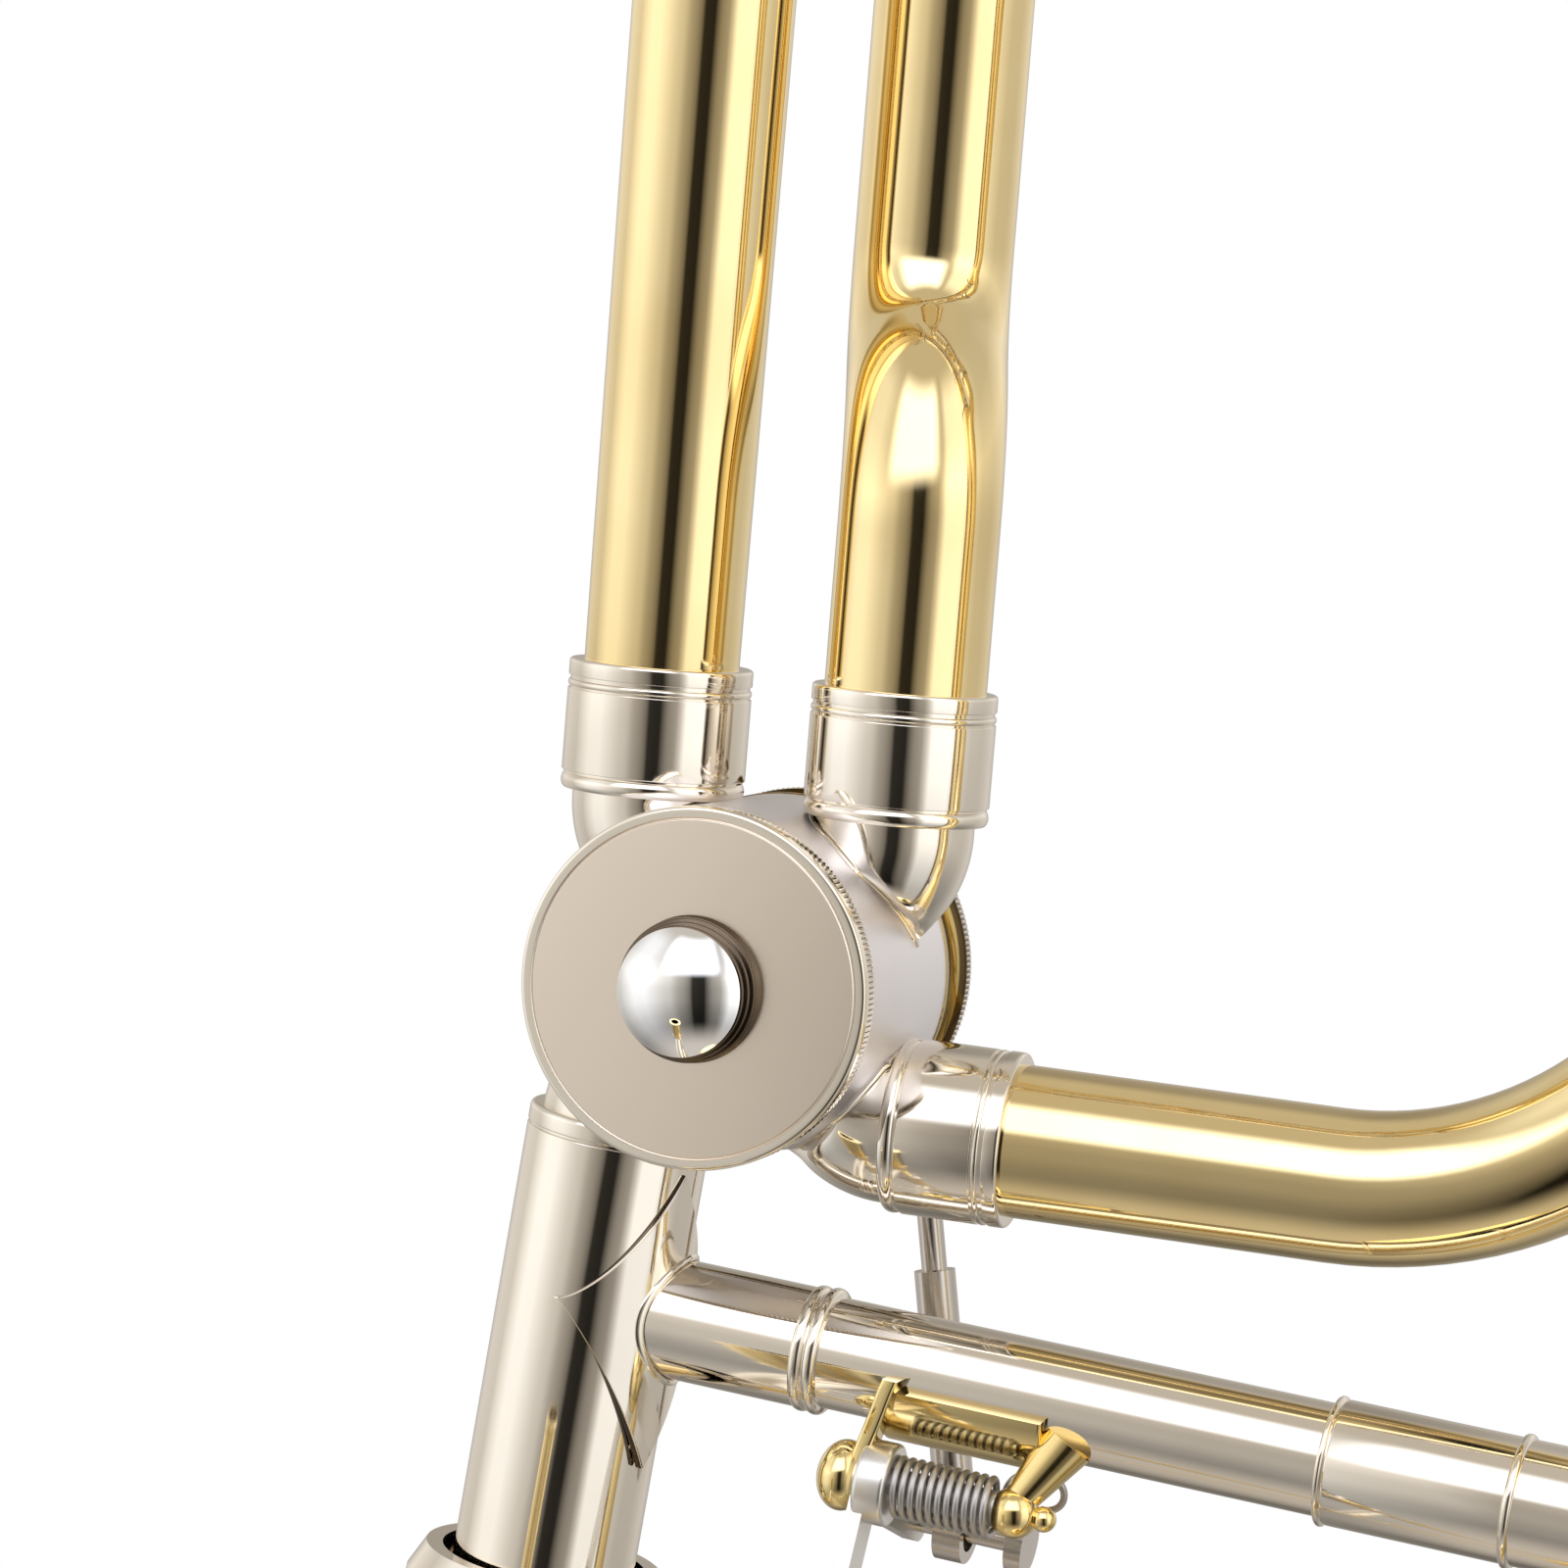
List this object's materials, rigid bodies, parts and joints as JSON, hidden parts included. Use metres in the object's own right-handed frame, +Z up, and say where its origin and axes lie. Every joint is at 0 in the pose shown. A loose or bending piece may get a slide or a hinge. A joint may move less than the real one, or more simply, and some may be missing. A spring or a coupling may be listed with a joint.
{
  "type": "tenor trombone",
  "caption": "Large-bore tenor trombone with a rotor valve and valve loop worked by a thumb lever, hand slide, tuning slides and flared bell.",
  "frame": {"origin": "centre of the flat tip of the rubber bumper on the slide's bow", "axes": "+Z up along the hand slide, +X from the slide towards the bell, -Y towards the mouthpiece leg of the slide"},
  "size_m": [0.3072, 0.216, 1.2377],
  "materials": {
    "yellow_brass": "polished and lacquered yellow brass",
    "nickel_silver": "polished nickel silver",
    "chromed_brass": "mirror chrome plate",
    "spring_steel": "drawn spring steel",
    "plated_lever": "nickel plated and polished",
    "rubber": "moulded black rubber",
    "cork": "cut cork composition"
  },
  "bodies": {
    "bell_section": {"bell": "yellow_brass", "bell_rim_wire": "yellow_brass", "bell_brace": "nickel_silver", "brace_sleeves": "nickel_silver", "brace_flanges": "nickel_silver", "slide_receiver": "nickel_silver", "main_tube": "yellow_brass", "tuning_sleeves": "nickel_silver", "tuning_ferrules": "nickel_silver", "sleeve_braces": "nickel_silver", "loop_feed_tube": "yellow_brass", "loop_return_tube": "yellow_brass", "loop_sleeves": "nickel_silver", "loop_ferrules": "nickel_silver", "valve_casing": "nickel_silver", "valve_knuckles": "nickel_silver", "port_ferrules": "nickel_silver", "bearing_plates": "yellow_brass", "front_valve_cap": "nickel_silver", "cap_finial": "chromed_brass", "rear_valve_ring": "nickel_silver", "stop_plate": "yellow_brass", "stop_corks": "cork", "lever_saddle": "yellow_brass", "hinge_rod": "spring_steel", "lever_spring": "spring_steel"},
    "tuning_slide": {"tuning_slide_legs": "nickel_silver", "main_tuning_bow": "yellow_brass", "tuning_slide_brace": "nickel_silver"},
    "loop_slide": {"loop_slide_legs": "nickel_silver", "loop_tuning_bow": "yellow_brass", "loop_slide_brace": "nickel_silver"},
    "rotor_set": {"rotor": "yellow_brass", "stop_arm": "yellow_brass", "rotor_screws": "spring_steel"},
    "link": {"link_rod": "nickel_silver", "link_eyes": "yellow_brass"},
    "lever": {"thumb_lever": "plated_lever", "lever_link_screw": "spring_steel"},
    "inner_slide": {"inner_slide_tubes": "chromed_brass", "cork_barrels": "nickel_silver", "slide_corks": "cork", "inner_brace_sleeves": "nickel_silver", "inner_slide_brace": "nickel_silver", "slide_tenon": "yellow_brass", "mouthpiece_receiver": "nickel_silver", "leadpipe": "yellow_brass"},
    "lock_nut": {"slide_lock_nut": "nickel_silver"},
    "lock_ring": {"slide_lock_ring": "nickel_silver"},
    "outer_slide": {"outer_slide_tubes": "yellow_brass", "outer_slide_ferrules": "nickel_silver", "handle_sleeves": "nickel_silver", "outer_slide_brace": "nickel_silver", "slide_bow": "yellow_brass", "bumper_seat": "nickel_silver", "slide_bumper": "rubber", "water_key_seat": "nickel_silver", "water_key_spring": "spring_steel"},
    "water_key": {"water_key_lever": "nickel_silver", "water_key_cork": "cork"}
  },
  "joints": [
    {"name": "main_tuning_slide", "type": "slide", "parent": "bell_section", "child": "tuning_slide", "axis": [-0.0993, 0, 0.9951], "range_m": [0, 0.06]},
    {"name": "valve_tuning_slide", "type": "slide", "parent": "bell_section", "child": "loop_slide", "axis": [-0.0993, 0, 0.9951], "range_m": [0, 0.06]},
    {"name": "thumb_lever_press", "type": "hinge", "parent": "bell_section", "child": "lever", "pos_m": [0.0395, 0.037, 0.81023], "axis": [0.9997, 0, 0.0261], "range_deg": [0, 35.8], "stiffness_Nm_per_rad": 0.12, "springref_deg": -28.65},
    {"name": "rotor_turn", "type": "hinge", "parent": "bell_section", "child": "rotor_set", "pos_m": [0.0107, 0.043, 0.855], "axis": [0, -1, 0], "range_deg": [0, 90]},
    {"name": "link_swing", "type": "hinge", "parent": "rotor_set", "child": "link", "pos_m": [0.02146, 0.0683, 0.8462], "axis": [0, -1, 0], "range_deg": [-90, 0]},
    {"name": "slide_swivel", "type": "hinge", "parent": "bell_section", "child": "inner_slide", "pos_m": [0, 0.043, 0.764], "axis": [0, 0, 1], "range_deg": [-10, 10]},
    {"name": "lock_nut_turn", "type": "hinge", "parent": "inner_slide", "child": "lock_nut", "pos_m": [0, 0.043, 0.764], "axis": [0, 0, 1], "range_deg": [0, 120]},
    {"name": "slide_lock_turn", "type": "hinge", "parent": "inner_slide", "child": "lock_ring", "pos_m": [0, 0.043, 0.672], "axis": [0, 0, -1], "range_deg": [0, 24]},
    {"name": "hand_slide", "type": "slide", "parent": "inner_slide", "child": "outer_slide", "axis": [0, 0, -1], "range_m": [0, 0.56]},
    {"name": "water_key_press", "type": "hinge", "parent": "outer_slide", "child": "water_key", "pos_m": [-0.0167, 0, 0.0232], "axis": [0, 0, 1], "range_deg": [0, 18], "stiffness_Nm_per_rad": 0.05, "springref_deg": -28.65}
  ],
  "couplings": [
    {"joint": "rotor_turn", "follows": "thumb_lever_press", "ratio": 2.5139},
    {"joint": "link_swing", "follows": "thumb_lever_press", "ratio": -2.5139}
  ]
}
